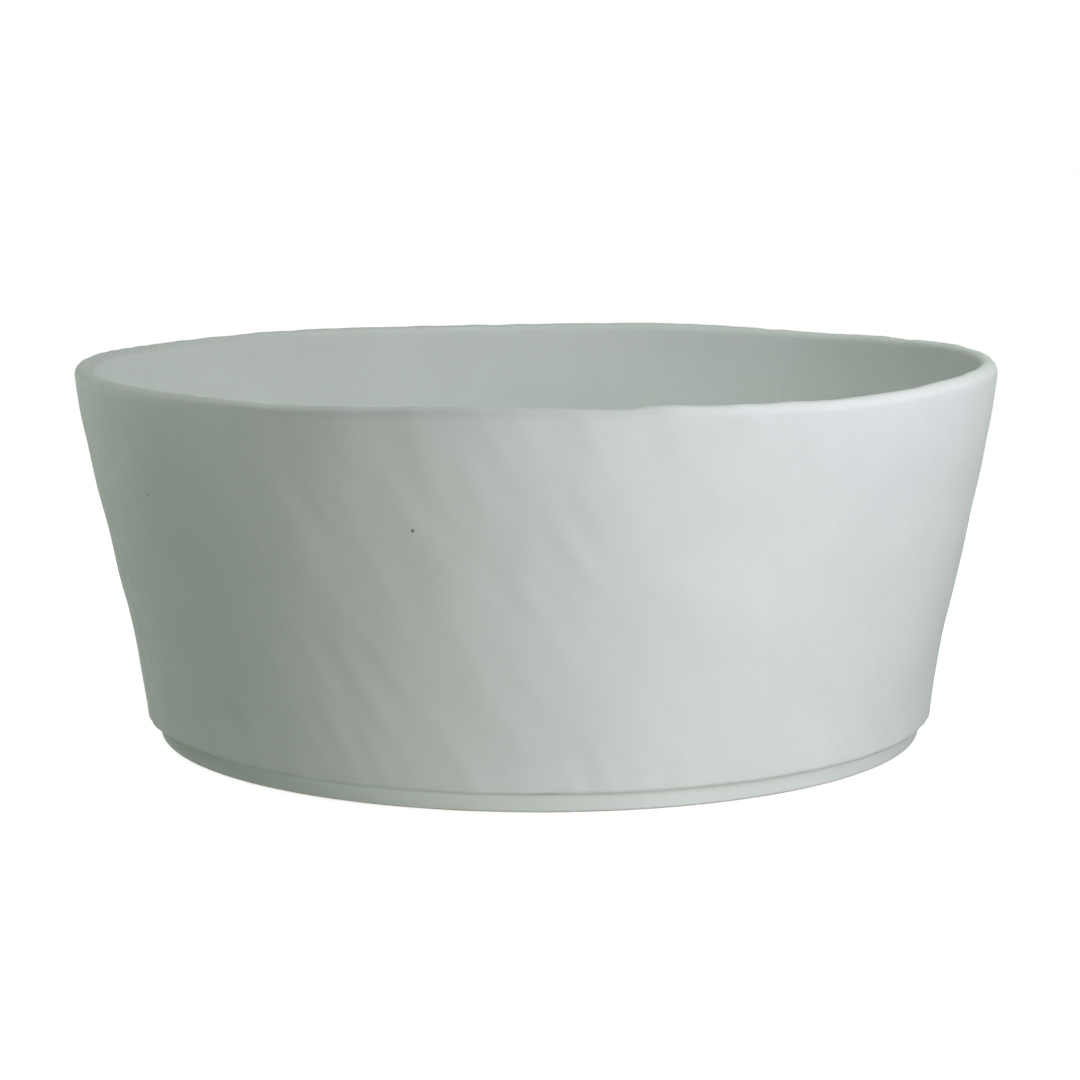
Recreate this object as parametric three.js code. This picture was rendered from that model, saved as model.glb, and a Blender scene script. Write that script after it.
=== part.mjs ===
// A round ceramic serving bowl: a thick shell with flared sides and a soft, hand-finished rim,
// standing on a low foot ring that is set in under the shell.
//
// Millimetres, +Z up. The origin is on the surface that the bowl stands on, under the middle of
// the rim. Both pieces are turned about an upright axis. The shell is then eased out of true, as
// hand-finished ware is: its rim rises and falls, and its base sits a little to one side.
import * as THREE from "three";

// Driving dimensions of the shell.
const RIM_RADIUS = 125;
const HEIGHT = 101.25;
const WALL_AT_RIM = 4.9;
const WALL_AT_BASE = 5.6;
const BASE_RADIUS = 108.1;
const BASE_EDGE_ROUND = 1.5;
const FLOOR_THICKNESS = 5.5;
const INNER_CORNER = 14;

// The outer face is one smooth curve. These are its handles: it leaves the base almost upright,
// flares in the middle, and is almost upright again at the rim.
const LOWER_HANDLE = { out: 2.9, up: 29 };
const UPPER_HANDLE = { out: 2.8, up: 27 };

// Driving dimensions of the foot ring.
const FOOT_RADIUS = 104.75;
const FOOT_HEIGHT = 5;
const FOOT_WIDTH = 10;
const FOOT_EDGE_ROUND = 0.8;

// How far the middle of the base lies along +X from the middle of the rim.
const BASE_SHIFT = 1;

// The rise and fall of the rim on its way round. Each wave has a number of crests, a height, and
// the bearing of one crest. Bearings are in degrees from +X towards +Y.
const RIM_WAVES = [
  { crests: 1, height: 0.6, bearing: 0 },
  { crests: 2, height: 0.45, bearing: 0 },
  { crests: 4, height: 0.3, bearing: 0 },
  { crests: 5, height: 0.2, bearing: -11 },
  { crests: 7, height: 0.25, bearing: 20 },
];

// Where a finger lifted the soft rim, and where it pressed the rim down beside that.
const RIM_TOUCHES = [
  { bearing: -103, spread: 10, height: 0.5 },
  { bearing: -82, spread: 5, height: -0.75 },
];

// Facets around the axis, and along each stretch of an outline.
const FACETS_AROUND = 72;
const WALL_STEPS = 12;
const RIM_STEPS = 8;
const CORNER_STEPS = 5;
const EDGE_STEPS = 3;

// Levels and angles that follow from the dimensions above.
const FLOOR_TOP = FOOT_HEIGHT + FLOOR_THICKNESS;
const RIM_ROUND = WALL_AT_RIM / 2;
const RIGHT_ANGLE = Math.PI / 2;

function point(radius, height) {
  return new THREE.Vector2(radius, height);
}

// Points of a round stretch, turning anticlockwise about its centre.
function roundStretch(centre, radius, startAngle, endAngle, steps) {
  const arc = new THREE.EllipseCurve(centre.x, centre.y, radius, radius, startAngle, endAngle);
  return arc.getPoints(steps);
}

// A solid turned about the upright axis. The outline runs outwards along the bottom, then up.
function turnedSolid(stretches) {
  const outline = stretches.flat();
  const geometry = new THREE.LatheGeometry(outline, FACETS_AROUND);
  geometry.rotateX(RIGHT_ANGLE);
  return geometry;
}

// The lean of the wall from upright where it meets the base edge or the rim.
function leanOf(handle) {
  return Math.atan2(handle.out, handle.up);
}

const baseEdgeCentre = point(BASE_RADIUS - BASE_EDGE_ROUND, FOOT_HEIGHT + BASE_EDGE_ROUND);
const rimCentre = point(RIM_RADIUS - RIM_ROUND, HEIGHT - RIM_ROUND);

// The point on a round edge where the leaning wall touches it.
function touchPoint(centre, radius, lean) {
  return point(centre.x + radius * Math.cos(lean), centre.y - radius * Math.sin(lean));
}

function outerWallCurve() {
  const start = touchPoint(baseEdgeCentre, BASE_EDGE_ROUND, leanOf(LOWER_HANDLE));
  const end = touchPoint(rimCentre, RIM_ROUND, leanOf(UPPER_HANDLE));
  const lowerHandle = point(start.x + LOWER_HANDLE.out, start.y + LOWER_HANDLE.up);
  const upperHandle = point(end.x - UPPER_HANDLE.out, end.y - UPPER_HANDLE.up);
  return new THREE.CubicBezierCurve(start, lowerHandle, upperHandle, end);
}

// The inner face, from the rim down to where the round inner corner begins. It lies inside the
// outer face by the wall's thickness, which grows towards the base.
function innerWall(outerCurve) {
  const points = [];
  for (let step = WALL_STEPS; step >= 0; step -= 1) {
    const along = step / WALL_STEPS;
    const outer = outerCurve.getPoint(along);
    const upwards = outerCurve.getTangent(along);
    const thickness = THREE.MathUtils.lerp(WALL_AT_BASE, WALL_AT_RIM, along);
    const inner = point(outer.x - thickness * upwards.y, outer.y + thickness * upwards.x);
    if (inner.y >= FLOOR_TOP + INNER_CORNER) {
      points.push(inner);
    }
  }
  return points;
}

// The round corner between the inner face and the floor.
function innerCorner(innerPoints) {
  const [above, start] = innerPoints.slice(-2);
  const slope = (above.x - start.x) / (above.y - start.y);
  const corner = point(start.x - slope * (start.y - FLOOR_TOP), FLOOR_TOP);
  const end = point(corner.x - INNER_CORNER, FLOOR_TOP);
  return new THREE.QuadraticBezierCurve(start, corner, end).getPoints(CORNER_STEPS);
}

// Height of the rim above its mean level at a bearing in degrees.
function rimRise(bearing) {
  let rise = 0;
  for (const wave of RIM_WAVES) {
    const fromCrest = THREE.MathUtils.degToRad(bearing - wave.bearing);
    rise += wave.height * Math.cos(wave.crests * fromCrest);
  }
  for (const touch of RIM_TOUCHES) {
    const away = (bearing - touch.bearing) / touch.spread;
    rise += touch.height * Math.exp(-(away ** 2));
  }
  return rise;
}

// Moves every point of the shell out of true: the rim goes up and down, and the base sideways.
// Both fade towards the other end, and the floor and the underside stay flat.
function easeOutOfTrue(geometry) {
  const positions = geometry.attributes.position;
  for (let index = 0; index < positions.count; index += 1) {
    const x = positions.getX(index);
    const y = positions.getY(index);
    const z = positions.getZ(index);
    const up = THREE.MathUtils.clamp((z - FLOOR_TOP) / (HEIGHT - FLOOR_TOP), 0, 1);
    const bearing = THREE.MathUtils.radToDeg(Math.atan2(y, x));
    const lift = up > 0 ? rimRise(bearing) * up ** 2 : 0;
    positions.setXYZ(index, x + BASE_SHIFT * (1 - up), y, z + lift);
  }
  geometry.computeVertexNormals();
}

function shellGeometry() {
  const outerCurve = outerWallCurve();
  const lowerLean = leanOf(LOWER_HANDLE);
  const upperLean = leanOf(UPPER_HANDLE);
  const underside = [point(0, FOOT_HEIGHT)];
  const baseEdge = roundStretch(
    baseEdgeCentre, BASE_EDGE_ROUND, -RIGHT_ANGLE, -lowerLean, EDGE_STEPS);
  const outerWall = outerCurve.getPoints(WALL_STEPS).slice(1, -1);
  const rim = roundStretch(rimCentre, RIM_ROUND, -upperLean, Math.PI - upperLean, RIM_STEPS);
  const innerPoints = innerWall(outerCurve);
  const corner = innerCorner(innerPoints);
  const floor = [point(0, FLOOR_TOP)];
  const geometry = turnedSolid(
    [underside, baseEdge, outerWall, rim, innerPoints.slice(1, -1), corner, floor]);
  easeOutOfTrue(geometry);
  return geometry;
}

// A low ring with rounded lower edges. Its flat top carries the shell.
function footGeometry() {
  const innerRadius = FOOT_RADIUS - FOOT_WIDTH;
  const innerEdgeCentre = point(innerRadius + FOOT_EDGE_ROUND, FOOT_EDGE_ROUND);
  const outerEdgeCentre = point(FOOT_RADIUS - FOOT_EDGE_ROUND, FOOT_EDGE_ROUND);
  const innerEdge = roundStretch(
    innerEdgeCentre, FOOT_EDGE_ROUND, -2 * RIGHT_ANGLE, -RIGHT_ANGLE, EDGE_STEPS);
  const outerEdge = roundStretch(outerEdgeCentre, FOOT_EDGE_ROUND, -RIGHT_ANGLE, 0, EDGE_STEPS);
  const top = [point(FOOT_RADIUS, FOOT_HEIGHT), point(innerRadius, FOOT_HEIGHT)];
  return turnedSolid([innerEdge, outerEdge, top, innerEdge.slice(0, 1)]);
}

const glaze = new THREE.MeshStandardMaterial({ color: 0xdce0dd, roughness: 0.55, metalness: 0 });
const footGlaze = glaze.clone();

const bowlShell = new THREE.Mesh(shellGeometry(), glaze);
bowlShell.name = "bowl_shell";

const footRing = new THREE.Mesh(footGeometry(), footGlaze);
footRing.name = "foot_ring";
footRing.position.set(BASE_SHIFT, 0, 0);

const bowl = new THREE.Group();
bowl.add(bowlShell, footRing);

export default bowl;
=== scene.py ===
"""A round stoneware bowl with a matt sage glaze, in soft studio light. Metres, +Z up."""
import math

import bpy
import numpy as np
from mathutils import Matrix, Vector


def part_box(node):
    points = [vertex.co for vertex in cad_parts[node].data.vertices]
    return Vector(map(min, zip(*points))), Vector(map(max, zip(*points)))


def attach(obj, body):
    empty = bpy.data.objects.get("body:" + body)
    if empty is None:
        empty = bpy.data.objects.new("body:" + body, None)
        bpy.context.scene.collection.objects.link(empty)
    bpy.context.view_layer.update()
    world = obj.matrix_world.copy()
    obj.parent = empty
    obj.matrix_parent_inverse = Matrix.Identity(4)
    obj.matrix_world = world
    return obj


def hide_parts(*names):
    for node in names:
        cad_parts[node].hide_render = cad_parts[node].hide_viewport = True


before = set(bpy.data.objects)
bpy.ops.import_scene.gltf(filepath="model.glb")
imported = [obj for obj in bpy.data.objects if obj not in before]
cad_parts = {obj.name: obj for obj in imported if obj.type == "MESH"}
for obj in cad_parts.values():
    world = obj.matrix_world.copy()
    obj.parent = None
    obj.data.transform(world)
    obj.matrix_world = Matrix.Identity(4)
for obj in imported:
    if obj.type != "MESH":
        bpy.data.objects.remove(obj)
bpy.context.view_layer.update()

MM = 0.001

# ---------------------------------------------------------------- dimensions, from the frame
shell_low, shell_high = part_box("bowl_shell")
foot_low, foot_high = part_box("foot_ring")

FOOT_RADIUS = (foot_high.y - foot_low.y) / 2
FOOT_HEIGHT = foot_high.z
BASE_SHIFT = (foot_high.x + foot_low.x) / 2
RIM_RADIUS = (shell_high.y - shell_low.y) / 2

# Dimensions that the frame's boxes don't give.
WALL_AT_RIM = 4.9 * MM
WALL_AT_BASE = 5.6 * MM
BASE_OVERHANG = 3.35 * MM
BASE_EDGE_ROUND = 1.5 * MM
FLOOR_THICKNESS = 5.5 * MM
INNER_CORNER = 14 * MM
LOWER_HANDLE = np.array([2.9, 29]) * MM
UPPER_HANDLE = np.array([2.8, 27]) * MM
FOOT_WIDTH = 10 * MM
FOOT_EDGE_ROUND = 0.8 * MM
FOOT_FILLET = 1.6 * MM
POLE_RADIUS = 2 * MM

# How many points there are round each piece and along each stretch of the shell's outline.
SHELL_COLUMNS = 640
FOOT_COLUMNS = 480
FLAT_ROWS = 9
BASE_EDGE_ROWS = 7
OUTER_ROWS = 83
RIM_ROWS = 15
INNER_ROW_STEP = 3
CORNER_ROWS = 9
FOOT_ARC_ROWS = 6
FOOT_FACE_ROWS = 6
FOOT_STANDING_ROWS = 7
FOOT_TOP_ROWS = 5
# Edges that turn more sharply than this many degrees stay crisp under smooth shading.
CRISP_ANGLE = 50

# Heights of the hand-worked lumps and strokes, with their shortest and longest waves and how
# many waves there are.
LUMP_HEIGHT = 0.08 * MM
LUMP_WAVES = (18 * MM, 60 * MM, 70)
STROKE_HEIGHT = 0.065 * MM
STROKE_WAVES = (6 * MM, 17 * MM, 90)
# The lumps and dents fade in between these radii.
WALL_FADE_FROM = 80 * MM
WALL_FADE_TO = 100 * MM

# The rim's rise and fall: crests, height, bearing of a crest in degrees.
RIM_WAVES = [
    (1, 0.60 * MM, 0),
    (2, 0.45 * MM, 0),
    (4, 0.30 * MM, 0),
    (5, 0.20 * MM, -11),
    (7, 0.25 * MM, 20),
]
# Where a finger lifted or pressed the soft rim: bearing, spread in degrees, height.
RIM_TOUCHES = [
    (-103, 10, 0.50 * MM),
    (-82, 5, -0.75 * MM),
]


def rim_rise(bearing):
    """Height of the rim above its mean level, at bearings in degrees."""
    rise = np.zeros_like(bearing)
    for crests, height, crest_bearing in RIM_WAVES:
        rise += height * np.cos(np.radians(crests * (bearing - crest_bearing)))
    for touch_bearing, spread, height in RIM_TOUCHES:
        rise += height * np.exp(-((bearing - touch_bearing) / spread) ** 2)
    return rise


ALL_BEARINGS = np.linspace(-180, 180, 721)
HEIGHT = shell_high.z - rim_rise(ALL_BEARINGS).max()
BASE_RADIUS = FOOT_RADIUS + BASE_OVERHANG
FLOOR_TOP = FOOT_HEIGHT + FLOOR_THICKNESS
RIM_ROUND = WALL_AT_RIM / 2

# ---------------------------------------------------------------- outlines, as (radius, height)


def arc(centre, radius, start, end, count):
    """Points of a round stretch between two angles in degrees."""
    angles = np.radians(np.linspace(start, end, count))
    across = centre[0] + radius * np.cos(angles)
    up = centre[1] + radius * np.sin(angles)
    return np.stack([across, up], axis=1)


def cubic(start, start_handle, end_handle, end, count):
    """Points of a cubic curve with two handles."""
    t = np.linspace(0, 1, count)[:, None]
    s = 1 - t
    return s**3 * start + 3 * s**2 * t * start_handle + 3 * s * t**2 * end_handle + t**3 * end


def quadratic(start, handle, end, count):
    """Points of a curve with one handle."""
    t = np.linspace(0, 1, count)[:, None]
    s = 1 - t
    return s**2 * start + 2 * s * t * handle + t**2 * end


def straight(start, end, count):
    """Evenly spaced points of a straight stretch."""
    t = np.linspace(0, 1, count)[:, None]
    return start + (end - start) * t


def join(*stretches):
    """One outline from stretches that each begin where the last one ended."""
    first, *rest = stretches
    return np.concatenate([first] + [stretch[1:] for stretch in rest])


def lean(handle):
    """Angle in degrees from upright of a wall that follows a handle (out, up)."""
    return math.degrees(math.atan2(handle[0], handle[1]))


def inner_wall(outer):
    """The inner face inside an outer one, from the rim down to the round corner."""
    along = np.gradient(outer, axis=0, edge_order=2)
    along /= np.linalg.norm(along, axis=1)[:, None]
    thickness = np.linspace(WALL_AT_BASE, WALL_AT_RIM, len(outer))[:, None]
    inner = outer + thickness * np.stack([-along[:, 1], along[:, 0]], axis=1)
    inner = inner[::-INNER_ROW_STEP]
    return inner[inner[:, 1] > FLOOR_TOP + INNER_CORNER]


def shell_outline():
    """The shell's outline, from the middle of its underside out, up, over the rim and down inside.

    Also says, for each point, whether the fine hand work shows there.
    """
    base_centre = np.array([BASE_RADIUS - BASE_EDGE_ROUND, FOOT_HEIGHT + BASE_EDGE_ROUND])
    rim_centre = np.array([RIM_RADIUS - RIM_ROUND, HEIGHT - RIM_ROUND])
    upper_lean = lean(UPPER_HANDLE)
    base_edge = arc(base_centre, BASE_EDGE_ROUND, -90, -lean(LOWER_HANDLE), BASE_EDGE_ROWS)
    rim = arc(rim_centre, RIM_ROUND, -upper_lean, 180 - upper_lean, RIM_ROWS)
    start, end = base_edge[-1], rim[0]
    outer = cubic(start, start + LOWER_HANDLE, end - UPPER_HANDLE, end, OUTER_ROWS)
    inner = inner_wall(outer)
    above, last = inner[-2:]
    slope = (above[0] - last[0]) / (above[1] - last[1])
    corner = np.array([last[0] - slope * (last[1] - FLOOR_TOP), FLOOR_TOP])
    corner_end = corner - np.array([INNER_CORNER, 0])
    round_corner = quadratic(last, corner, corner_end, CORNER_ROWS)
    underside = straight(np.array([POLE_RADIUS, FOOT_HEIGHT]), base_edge[0], FLAT_ROWS)
    floor = straight(corner_end, np.array([POLE_RADIUS, FLOOR_TOP]), FLAT_ROWS)
    outline = join(underside, base_edge, outer, rim, inner, round_corner, floor)
    worked = np.zeros(len(outline))
    worked[len(underside):len(underside) + len(base_edge) + len(outer) + len(rim)] = 1
    return outline, worked


def foot_outline():
    """The foot ring's outline, with the glaze that fills the corner under the shell."""
    inner_radius = FOOT_RADIUS - FOOT_WIDTH
    inner_centre = np.array([inner_radius + FOOT_EDGE_ROUND, FOOT_EDGE_ROUND])
    outer_centre = np.array([FOOT_RADIUS - FOOT_EDGE_ROUND, FOOT_EDGE_ROUND])
    fillet_centre = np.array([FOOT_RADIUS + FOOT_FILLET, FOOT_HEIGHT - FOOT_FILLET])
    inner_fillet_centre = np.array([inner_radius - FOOT_FILLET, FOOT_HEIGHT - FOOT_FILLET])
    inner_edge = arc(inner_centre, FOOT_EDGE_ROUND, 180, 270, FOOT_ARC_ROWS)
    outer_edge = arc(outer_centre, FOOT_EDGE_ROUND, 270, 360, FOOT_ARC_ROWS)
    standing_face = straight(inner_edge[-1], outer_edge[0], FOOT_STANDING_ROWS)
    outer_fillet = arc(fillet_centre, FOOT_FILLET, 180, 90, FOOT_ARC_ROWS)
    inner_fillet = arc(inner_fillet_centre, FOOT_FILLET, 90, 0, FOOT_ARC_ROWS)
    outer_face = straight(outer_edge[-1], outer_fillet[0], FOOT_FACE_ROWS)
    top = straight(outer_fillet[-1], inner_fillet[0], FOOT_TOP_ROWS)
    inner_face = straight(inner_fillet[-1], inner_edge[0], FOOT_FACE_ROWS)
    return join(inner_edge, standing_face, outer_edge, outer_face, outer_fillet, top,
                inner_fillet, inner_face)[:-1]


# ---------------------------------------------------------------- hand-worked surface

# The finest hand work lies in slanted strokes: this twists them round the wall, in radians
# per metre of height, and this draws them out along the height.
STROKE_TWIST = 4.0
STROKE_STRETCH = 0.35


def random_waves(points, shortest, longest, count, seed):
    """A smooth random field on points, mean 0 and spread 1, from waves of many directions."""
    chance = np.random.default_rng(seed)
    directions = chance.normal(size=(count, 3))
    directions /= np.linalg.norm(directions, axis=1)[:, None]
    lengths = np.exp(chance.uniform(math.log(shortest), math.log(longest), count))
    phases = chance.uniform(0, 2 * math.pi, count)
    field = np.zeros(len(points))
    for direction, length, phase in zip(directions, lengths, phases):
        field += np.cos(points @ direction * (2 * math.pi / length) + phase)
    return field * math.sqrt(2 / count)


def along_strokes(points):
    """Points drawn in along the strokes, so that round noise on them gives slanted strokes."""
    turn = points[:, 2] * STROKE_TWIST
    x = points[:, 0] * np.cos(turn) - points[:, 1] * np.sin(turn)
    y = points[:, 0] * np.sin(turn) + points[:, 1] * np.cos(turn)
    return np.stack([x, y, points[:, 2] * STROKE_STRETCH], axis=1)


# Soft dents and swellings of the wall: bearing and its spread in degrees, height and its spread,
# and depth outwards. Those at 180 and 0 degrees shape the two sides of the bowl's outline.
WALL_DENTS = [
    (180, 16, 58 * MM, 9 * MM, -0.32 * MM),
    (180, 16, 16 * MM, 10 * MM, 0.15 * MM),
    (0, 16, 47 * MM, 10 * MM, 0.38 * MM),
    (0, 16, 27 * MM, 7 * MM, -0.35 * MM),
    (-62, 13, 34 * MM, 12 * MM, -0.12 * MM),
    (-110, 11, 52 * MM, 16 * MM, -0.12 * MM),
    (-88, 9, 70 * MM, 10 * MM, 0.10 * MM),
    (70, 14, 45 * MM, 14 * MM, -0.20 * MM),
    (125, 12, 60 * MM, 12 * MM, 0.18 * MM),
]


def wall_dents(bearing, height):
    """How far the wall stands out of its true curve, outwards."""
    out = np.zeros_like(bearing)
    for dent_bearing, bearing_spread, dent_height, height_spread, depth in WALL_DENTS:
        around = (bearing - dent_bearing + 180) % 360 - 180
        upwards = height - dent_height
        out += depth * np.exp(-(around / bearing_spread) ** 2 - (upwards / height_spread) ** 2)
    return out


# ---------------------------------------------------------------- meshes


def turned(outline, around):
    """Rings of points round the upright axis, and the bearing of each in degrees."""
    bearing = np.linspace(-180, 180, around, endpoint=False)
    angles = np.radians(bearing)
    radius = outline[:, 0][:, None]
    x = radius * np.cos(angles)
    y = radius * np.sin(angles)
    z = np.repeat(outline[:, 1][:, None], around, axis=1)
    points = np.stack([x, y, z], axis=2).reshape(-1, 3)
    return points, np.tile(bearing, len(outline))


def outward_normals(outline, around):
    """The direction out of the surface at each point that turned() makes."""
    along = np.gradient(outline, axis=0)
    along /= np.maximum(np.linalg.norm(along, axis=1), 1e-9)[:, None]
    angles = np.radians(np.linspace(-180, 180, around, endpoint=False))
    across = along[:, 1][:, None]
    x = across * np.cos(angles)
    y = across * np.sin(angles)
    z = np.repeat(-along[:, 0][:, None], around, axis=1)
    return np.stack([x, y, z], axis=2).reshape(-1, 3)


def ring_faces(rows, around, closed):
    """Quads between neighbouring rings, and from the last ring back to the first if closed."""
    row = np.arange(rows if closed else rows - 1)[:, None]
    column = np.arange(around)[None, :]
    next_row = (row + 1) % rows
    next_column = (column + 1) % around
    corners = [
        row * around + column,
        row * around + next_column,
        next_row * around + next_column,
        next_row * around + column,
    ]
    return np.stack(corners, axis=2).reshape(-1, 4).tolist()


def mesh_object(name, points, faces):
    """A smooth-shaded object of a mesh."""
    mesh = bpy.data.meshes.new(name)
    mesh.from_pydata(points.tolist(), [], faces)
    mesh.update()
    mesh.polygons.foreach_set("use_smooth", [True] * len(mesh.polygons))
    mesh.set_sharp_from_angle(angle=math.radians(CRISP_ANGLE))
    piece = bpy.data.objects.new(name, mesh)
    bpy.context.scene.collection.objects.link(piece)
    return piece


def bowl_shell():
    """The wall, rim and floor, as one closed skin."""
    outline, worked = shell_outline()
    points, bearing = turned(outline, SHELL_COLUMNS)
    normals = outward_normals(outline, SHELL_COLUMNS)
    up = np.clip((points[:, 2] - FLOOR_TOP) / (HEIGHT - FLOOR_TOP), 0, 1)
    radius = np.hypot(points[:, 0], points[:, 1])
    on_wall = np.clip((radius - WALL_FADE_FROM) / (WALL_FADE_TO - WALL_FADE_FROM), 0, 1)
    lumps = LUMP_HEIGHT * random_waves(points, *LUMP_WAVES, seed=4)
    strokes = STROKE_HEIGHT * random_waves(along_strokes(points), *STROKE_WAVES, seed=7)
    strokes *= np.repeat(worked, SHELL_COLUMNS)
    clear_of_foot = (points[:, 2] > FOOT_HEIGHT) | (radius > FOOT_RADIUS + FOOT_FILLET)
    points += normals * ((lumps * on_wall + strokes) * clear_of_foot)[:, None]
    dents = wall_dents(bearing, points[:, 2]) * on_wall * (up > 0)
    points[:, 0] += dents * np.cos(np.radians(bearing)) + BASE_SHIFT * (1 - up)
    points[:, 1] += dents * np.sin(np.radians(bearing))
    points[:, 2] += rim_rise(bearing) * up**2
    faces = ring_faces(len(outline), SHELL_COLUMNS, closed=False)
    last_ring = (len(outline) - 1) * SHELL_COLUMNS
    faces.append(list(range(SHELL_COLUMNS))[::-1])
    faces.append(list(range(last_ring, last_ring + SHELL_COLUMNS)))
    return mesh_object("bowl_shell_glazed", points, faces)


def foot_ring():
    """The low ring that the bowl stands on."""
    outline = foot_outline()
    points, _ = turned(outline, FOOT_COLUMNS)
    points[:, 0] += BASE_SHIFT
    faces = ring_faces(len(outline), FOOT_COLUMNS, closed=True)
    return mesh_object("foot_ring_glazed", points, faces)


# ---------------------------------------------------------------- materials


class Nodes:
    """Short calls for making and joining a material's nodes."""

    def __init__(self, name):
        self.material = bpy.data.materials.new(name)
        self.material.use_nodes = True
        self.tree = self.material.node_tree
        self.tree.nodes.clear()

    def add(self, kind, settings=None, **inputs):
        """A node, with its inputs by name set to values or joined to sockets."""
        node = self.tree.nodes.new(kind)
        for setting, value in (settings or {}).items():
            setattr(node, setting, value)
        for label, value in inputs.items():
            self.feed(node.inputs[label.replace("_", " ")], value)
        return node

    def feed(self, socket, value):
        """Sets a socket, or joins it to the socket that is given."""
        if isinstance(value, bpy.types.NodeSocket):
            self.tree.links.new(value, socket)
        else:
            socket.default_value = value

    def maths(self, operation, *values):
        """The result of a Math node."""
        node = self.add("ShaderNodeMath", {"operation": operation})
        for socket, value in zip(node.inputs, values):
            self.feed(socket, value)
        return node.outputs[0]

    def noise(self, vector, size, detail=2.0, roughness=0.5):
        """Noise from 0 to 1 with features of about this size in metres."""
        node = self.add("ShaderNodeTexNoise", Vector=vector, Scale=1 / size, Detail=detail,
                        Roughness=roughness)
        return node.outputs["Fac"]

    def span(self, value, low, high, to_low=0.0, to_high=1.0):
        """A value's range from low to high, mapped smoothly to another and clamped."""
        node = self.add("ShaderNodeMapRange", {"interpolation_type": "SMOOTHSTEP"}, Value=value)
        node.inputs["From Min"].default_value = low
        node.inputs["From Max"].default_value = high
        node.inputs["To Min"].default_value = to_low
        node.inputs["To Max"].default_value = to_high
        return node.outputs[0]

    def blend(self, amount, first, second):
        """A colour between two."""
        node = self.add("ShaderNodeMix", {"data_type": "RGBA"})
        self.feed(node.inputs[0], amount)
        self.feed(node.inputs[6], first)
        self.feed(node.inputs[7], second)
        return node.outputs[2]


# Colours are linear. The glaze drifts between two near neighbours. The rim's upward face carries
# painted shade: its colour is a little darker where it faces up, to tone down the light that falls
# on it.
SAGE_PALE = (0.74, 0.77, 0.75, 1)
SAGE_DEEP = (0.70, 0.73, 0.71, 1)
SAGE_RIM_PAINTED_SHADE = (0.67, 0.70, 0.68, 1)
IRON_SPECK = (0.10, 0.085, 0.06, 1)
BARE_CLAY = (0.52, 0.43, 0.33, 1)
CLAY_GRIT = (0.38, 0.30, 0.22, 1)

# Iron specks that show singly on the front: bearing, height and radius.
SINGLE_SPECKS = [
    (-104.0, 71.5 * MM, 0.50 * MM),
    (-144.0, 73.5 * MM, 0.30 * MM),
]
SINGLE_SPECK_REACH = 8 * MM
SINGLE_SPECK_DARKNESS = 0.75
# Small specks lie about this far apart, and this share of the places has none. The radius of the
# largest and the soft edge are shares of the spacing.
SPECK_SPACING = 16 * MM
SPECKLESS_SHARE = 0.55
LARGEST_SPECK = 0.022
SPECK_EDGE = (-0.008, 0.010)
SPECK_DARKNESS = 0.55
CLOUD_SIZE = 45 * MM
CLOUD_SHARE = 0.75
MOTTLE_SIZE = 2.4 * MM
# On the standing face the glaze ends at a wavering line, this high at most, and fades out over
# this much.
GLAZE_LINE = 0.45 * MM
GLAZE_LINE_FADE = 0.08 * MM
FINE_STROKE_SIZE = 2.6 * MM
FINE_STROKE_DEPTH = 0.020 * MM
PEEL_SIZE = 0.8 * MM
PEEL_DEPTH = 0.003 * MM
GLAZE_ROUGHNESS = (0.50, 0.60)
CLAY_ROUGHNESS = 0.9
GLAZE_SHINE = 0.35


def glaze_colour(nodes, place):
    """Sage, cloudy over a hand's breadth and mottled finely, with a few iron specks, and painted
    shade on the rim's upward face.
    """
    clouds = nodes.noise(place, CLOUD_SIZE)
    mottle = nodes.noise(place, MOTTLE_SIZE, detail=4, roughness=0.6)
    drift = nodes.maths("ADD", nodes.maths("MULTIPLY", clouds, CLOUD_SHARE),
                        nodes.maths("MULTIPLY", mottle, 1 - CLOUD_SHARE))
    sage = nodes.blend(nodes.span(drift, 0.35, 0.65), SAGE_PALE, SAGE_DEEP)
    cells = nodes.add("ShaderNodeTexVoronoi", Vector=place, Scale=1 / SPECK_SPACING)
    chance = nodes.add("ShaderNodeSeparateColor", Color=cells.outputs["Color"]).outputs[0]
    size = nodes.span(chance, SPECKLESS_SHARE, 1.0, 0.0, LARGEST_SPECK)
    inside = nodes.maths("SUBTRACT", size, cells.outputs["Distance"])
    speck = nodes.span(inside, *SPECK_EDGE, 0.0, SPECK_DARKNESS)
    # Painted shade: the rim's upward face is darkened where it faces up, standing in for less
    # light falling there.
    sage = nodes.blend(rim_painted_shade(nodes, place), sage, SAGE_RIM_PAINTED_SHADE)
    for bearing, height, radius in SINGLE_SPECKS:
        speck = nodes.maths("MAXIMUM", speck, single_speck(nodes, place, bearing, height, radius))
    return nodes.blend(speck, sage, IRON_SPECK)


def rim_painted_shade(nodes, place):
    """How far a point is on the rim's upward face, where the glaze colour is darkened as painted
    shade.
    """
    height = nodes.add("ShaderNodeSeparateXYZ", Vector=place).outputs["Z"]
    facing = nodes.add("ShaderNodeNewGeometry").outputs["Normal"]
    upwards = nodes.add("ShaderNodeSeparateXYZ", Vector=facing).outputs["Z"]
    near_rim = nodes.span(height, HEIGHT - 4 * RIM_ROUND, HEIGHT - 3 * RIM_ROUND)
    return nodes.maths("MULTIPLY", near_rim, nodes.span(upwards, 0.0, 0.7))


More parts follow.
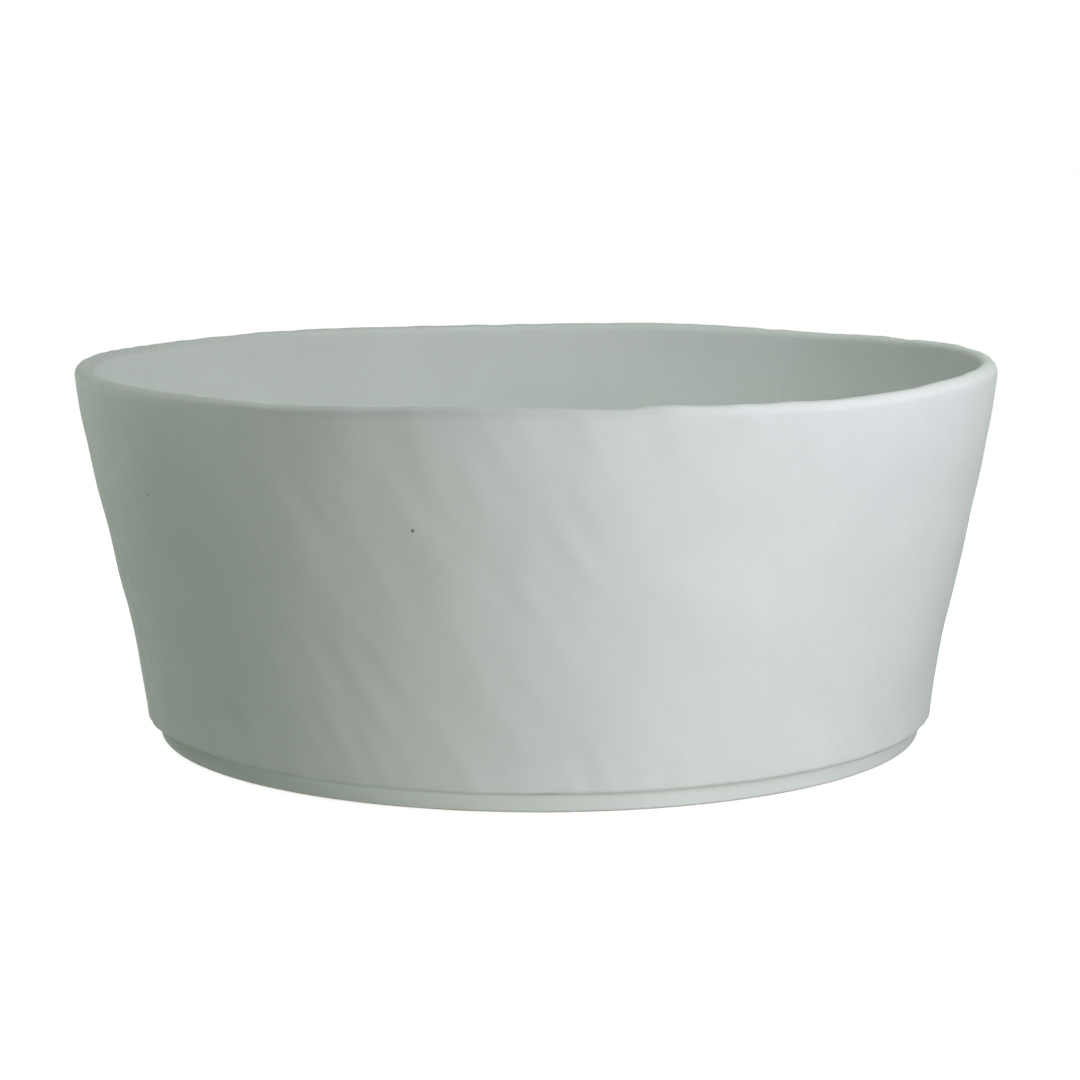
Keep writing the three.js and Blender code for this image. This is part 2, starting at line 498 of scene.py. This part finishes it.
def single_speck(nodes, place, bearing, height, radius):
    """How dark one speck on the outer wall is."""
    angle = math.radians(bearing)
    up = (height - FOOT_HEIGHT) / (HEIGHT - FOOT_HEIGHT)
    wall = BASE_RADIUS + (RIM_RADIUS - BASE_RADIUS) * up
    spot = (wall * math.cos(angle), wall * math.sin(angle), height)
    away = nodes.add("ShaderNodeVectorMath", {"operation": "SUBTRACT"})
    nodes.feed(away.inputs[0], place)
    nodes.feed(away.inputs[1], spot)
    # Distance counts only at right angles to the wall's outward bearing, so the speck lies flat.
    flat = nodes.add("ShaderNodeVectorMath", {"operation": "CROSS_PRODUCT"})
    nodes.feed(flat.inputs[0], away.outputs[0])
    nodes.feed(flat.inputs[1], (math.cos(angle), math.sin(angle), 0))
    length = nodes.add("ShaderNodeVectorMath", {"operation": "LENGTH"})
    nodes.feed(length.inputs[0], flat.outputs[0])
    near = nodes.add("ShaderNodeVectorMath", {"operation": "LENGTH"})
    nodes.feed(near.inputs[0], away.outputs[0])
    close = nodes.maths("LESS_THAN", near.outputs["Value"], SINGLE_SPECK_REACH)
    dark = nodes.span(length.outputs["Value"], radius * 0.5, radius * 1.2,
                      SINGLE_SPECK_DARKNESS, 0.0)
    return nodes.maths("MULTIPLY", close, dark)


def stroke_place(nodes, place):
    """The same stretch and twist as along_strokes(), for the strokes too fine for the mesh."""
    height = nodes.add("ShaderNodeSeparateXYZ", Vector=place).outputs["Z"]
    turn = nodes.maths("MULTIPLY", height, STROKE_TWIST)
    turned_place = nodes.add("ShaderNodeVectorRotate", {"rotation_type": "Z_AXIS"},
                             Vector=place, Angle=turn)
    drawn = nodes.add("ShaderNodeVectorMath", {"operation": "MULTIPLY"})
    nodes.feed(drawn.inputs[0], turned_place.outputs[0])
    nodes.feed(drawn.inputs[1], (1, 1, STROKE_STRETCH))
    return drawn.outputs[0]


def glaze_relief(nodes, place):
    """The surface direction, with fine strokes and the faint orange peel of a matt glaze."""
    strokes = nodes.noise(stroke_place(nodes, place), FINE_STROKE_SIZE, detail=2)
    peel = nodes.noise(place, PEEL_SIZE, detail=3, roughness=0.6)
    ripple = nodes.add("ShaderNodeBump", Height=strokes, Distance=FINE_STROKE_DEPTH,
                       Strength=1.0)
    grain = nodes.add("ShaderNodeBump", Height=peel, Distance=PEEL_DEPTH, Strength=1.0,
                      Normal=ripple.outputs[0])
    return grain.outputs[0]


def glaze_material(name, bare_foot):
    """Matt glaze. On the foot, the face that stands on the table is wiped back to bare clay."""
    nodes = Nodes(name)
    place = nodes.add("ShaderNodeTexCoord").outputs["Object"]
    colour = glaze_colour(nodes, place)
    patches = nodes.noise(place, 6 * MM, detail=3)
    roughness = nodes.span(patches, 0.3, 0.7, *GLAZE_ROUGHNESS)
    if bare_foot:
        height = nodes.add("ShaderNodeSeparateXYZ", Vector=place).outputs["Z"]
        waver = nodes.maths("MULTIPLY", nodes.noise(place, 7 * MM), GLAZE_LINE)
        above_line = nodes.maths("SUBTRACT", height, waver)
        bare = nodes.span(above_line, 0, GLAZE_LINE_FADE, 1.0, 0.0)
        grit = nodes.span(nodes.noise(place, 0.7 * MM, detail=3), 0.45, 0.65)
        clay = nodes.blend(grit, BARE_CLAY, CLAY_GRIT)
        colour = nodes.blend(bare, colour, clay)
        roughness = nodes.maths("MAXIMUM", roughness,
                                nodes.maths("MULTIPLY", bare, CLAY_ROUGHNESS))
    shader = nodes.add("ShaderNodeBsdfPrincipled", Roughness=roughness,
                       Normal=glaze_relief(nodes, place))
    nodes.feed(shader.inputs["Base Color"], colour)
    shader.inputs["Specular IOR Level"].default_value = GLAZE_SHINE
    nodes.add("ShaderNodeOutputMaterial", Surface=shader.outputs[0])
    return nodes.material


# ---------------------------------------------------------------- studio

CAMERA_PLACE = (0, -0.797, 0.176)
CAMERA_DOWN = math.radians(8.915)
CAMERA_TURN = math.radians(-0.08)
CAMERA_LENS_MM = 97.17
CAMERA_SENSOR_MM = 36

MIDDLE = Vector((0, 0, 0.05))
# Soft boxes round the bowl's middle: bearing and elevation in degrees, watts and colour.
SOFT_BOXES = [
    ("high_right", -15, 60, 0.99, (0.92, 1.0, 0.88)),
    ("right", -40, 25, 0.44, (0.81, 0.70, 1.0)),
    ("front_low", -65, -8, 0.575, (0.99, 1.0, 0.99)),
    ("left_high", 180, 40, 0.49, (0.94, 1.0, 0.96)),
]
SOFT_BOX_DISTANCE = 0.42
SOFT_BOX_WIDTH = 0.25

# Light that stands in for what a table would throw back at the bowl. It is full from level down
# to this far below (the sine of the angle), and this share of that from further below. The last
# value is half the width of each change, as a share of the way from straight down to straight up.
TABLE_LIGHT = (0.69, 0.79, 0.67)
TABLE_LIGHT_DEPTH = 0.37
SHADOW_LIGHT = 0.15
LIGHT_EDGE = 0.012

SWEEP_RADIUS = 5
SWEEP_CURVE = 1.5
SWEEP_COLUMNS = 96
SWEEP_FLAT_ROWS = 12
SWEEP_CURVE_ROWS = 13
SWEEP_WALL_ROWS = 4
SWEEP_TOOTH = 3 * MM
SWEEP_WHITES = ((0.90, 0.90, 0.90, 1), (0.915, 0.915, 0.915, 1))
SWEEP_HOLE = 0.01
SWEEP_HEIGHT = 4
SWEEP_DROP = 0.1 * MM
# The board glows more between these distances from the bowl's middle, from the first strength to
# the second.
SWEEP_GLOW_BETWEEN = (0.11, 0.26)
SWEEP_GLOW = (0.74, 1.0)


def soft_box(name, bearing, elevation, watts, colour):
    """A square lamp near the bowl, turned towards its middle."""
    around = math.radians(bearing)
    upwards = math.radians(elevation)
    outwards = Vector((math.cos(upwards) * math.cos(around),
                       math.cos(upwards) * math.sin(around),
                       math.sin(upwards)))
    light = bpy.data.lights.new(name, "AREA")
    light.size = SOFT_BOX_WIDTH
    light.energy = watts
    light.color = colour
    lamp = bpy.data.objects.new(name, light)
    lamp.location = MIDDLE + SOFT_BOX_DISTANCE * outwards
    lamp.rotation_euler = outwards.to_track_quat("Z", "Y").to_euler()
    lamp.visible_camera = False
    bpy.context.scene.collection.objects.link(lamp)


def room():
    """A dark room, but for a belt of light from below."""
    world = bpy.data.worlds.new("room")
    world.use_nodes = True
    tree = world.node_tree
    direction = tree.nodes.new("ShaderNodeTexCoord")
    axes = tree.nodes.new("ShaderNodeSeparateXYZ")
    # The ramp runs from straight below at 0, past level at 0.5, to straight above at 1.
    halfway_up = tree.nodes.new("ShaderNodeMapRange")
    halfway_up.inputs["From Min"].default_value = -1
    ramp = tree.nodes.new("ShaderNodeValToRGB")
    full_from = (1 - TABLE_LIGHT_DEPTH) / 2
    stops = ramp.color_ramp.elements
    stops[0].position = full_from - LIGHT_EDGE
    stops[0].color = (*[SHADOW_LIGHT * part for part in TABLE_LIGHT], 1)
    stops[1].position = 0.5 + LIGHT_EDGE
    stops[1].color = (0, 0, 0, 1)
    for position in (full_from + LIGHT_EDGE, 0.5 - LIGHT_EDGE):
        stops.new(position).color = (*TABLE_LIGHT, 1)
    tree.links.new(direction.outputs["Generated"], axes.inputs[0])
    tree.links.new(axes.outputs["Z"], halfway_up.inputs["Value"])
    tree.links.new(halfway_up.outputs[0], ramp.inputs[0])
    tree.links.new(ramp.outputs[0], tree.nodes["Background"].inputs["Color"])
    bpy.context.scene.world = world


def sweep_material():
    """White board that glows more further out, so that no horizon shows."""
    nodes = Nodes("studio_sweep")
    place = nodes.add("ShaderNodeTexCoord").outputs["Object"]
    colour = nodes.blend(nodes.noise(place, SWEEP_TOOTH), *SWEEP_WHITES)
    distance = nodes.add("ShaderNodeVectorMath", {"operation": "LENGTH"})
    nodes.feed(distance.inputs[0], place)
    glow = nodes.span(distance.outputs["Value"], *SWEEP_GLOW_BETWEEN, *SWEEP_GLOW)
    shader = nodes.add("ShaderNodeBsdfPrincipled", Roughness=0.9)
    nodes.feed(shader.inputs["Base Color"], colour)
    nodes.feed(shader.inputs["Emission Strength"], glow)
    shader.inputs["Emission Color"].default_value = (1, 1, 1, 1)
    shader.inputs["Specular IOR Level"].default_value = 0.1
    nodes.add("ShaderNodeOutputMaterial", Surface=shader.outputs[0])
    return nodes.material


def sweep():
    """A wide round white board that curves up into a wall all round."""
    flat = straight(np.array([SWEEP_HOLE, 0]), np.array([SWEEP_RADIUS, 0]), SWEEP_FLAT_ROWS)
    curve = arc((SWEEP_RADIUS, SWEEP_CURVE), SWEEP_CURVE, -90, 0, SWEEP_CURVE_ROWS)
    foot_of_wall = curve[-1]
    top_of_wall = foot_of_wall + np.array([0, SWEEP_HEIGHT])
    wall = straight(foot_of_wall, top_of_wall, SWEEP_WALL_ROWS)
    outline = join(flat, curve, wall)
    points, _ = turned(outline, SWEEP_COLUMNS)
    faces = ring_faces(len(outline), SWEEP_COLUMNS, closed=False)
    faces.append(list(range(SWEEP_COLUMNS)))
    board = mesh_object("studio_sweep", points, faces)
    board.data.materials.append(sweep_material())
    # Just clear of the foot, so that the two faces never lie in one plane.
    board.location.z = -SWEEP_DROP
    # The room's belt of light already stands in for what the board would throw back.
    board.visible_diffuse = False
    board.visible_glossy = False
    board.visible_shadow = False


def camera():
    """The photo's view: the front of the bowl, from a little above it."""
    lens = bpy.data.cameras.new("camera")
    lens.lens = CAMERA_LENS_MM
    lens.sensor_width = CAMERA_SENSOR_MM
    eye = bpy.data.objects.new("camera", lens)
    eye.location = CAMERA_PLACE
    eye.rotation_euler = (math.pi / 2 - CAMERA_DOWN, 0, CAMERA_TURN)
    bpy.context.scene.collection.objects.link(eye)
    bpy.context.scene.camera = eye


# ---------------------------------------------------------------- the scene

shell = bowl_shell()
shell.data.materials.append(glaze_material("glaze_matt_sage", bare_foot=False))
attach(shell, "root")
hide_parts("bowl_shell")

ring = foot_ring()
ring.data.materials.append(glaze_material("foot_glaze_matt_sage", bare_foot=True))
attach(ring, "root")
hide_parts("foot_ring")

camera()
sweep()
room()
for box in SOFT_BOXES:
    soft_box(*box)
bpy.context.scene.view_settings.view_transform = "Standard"
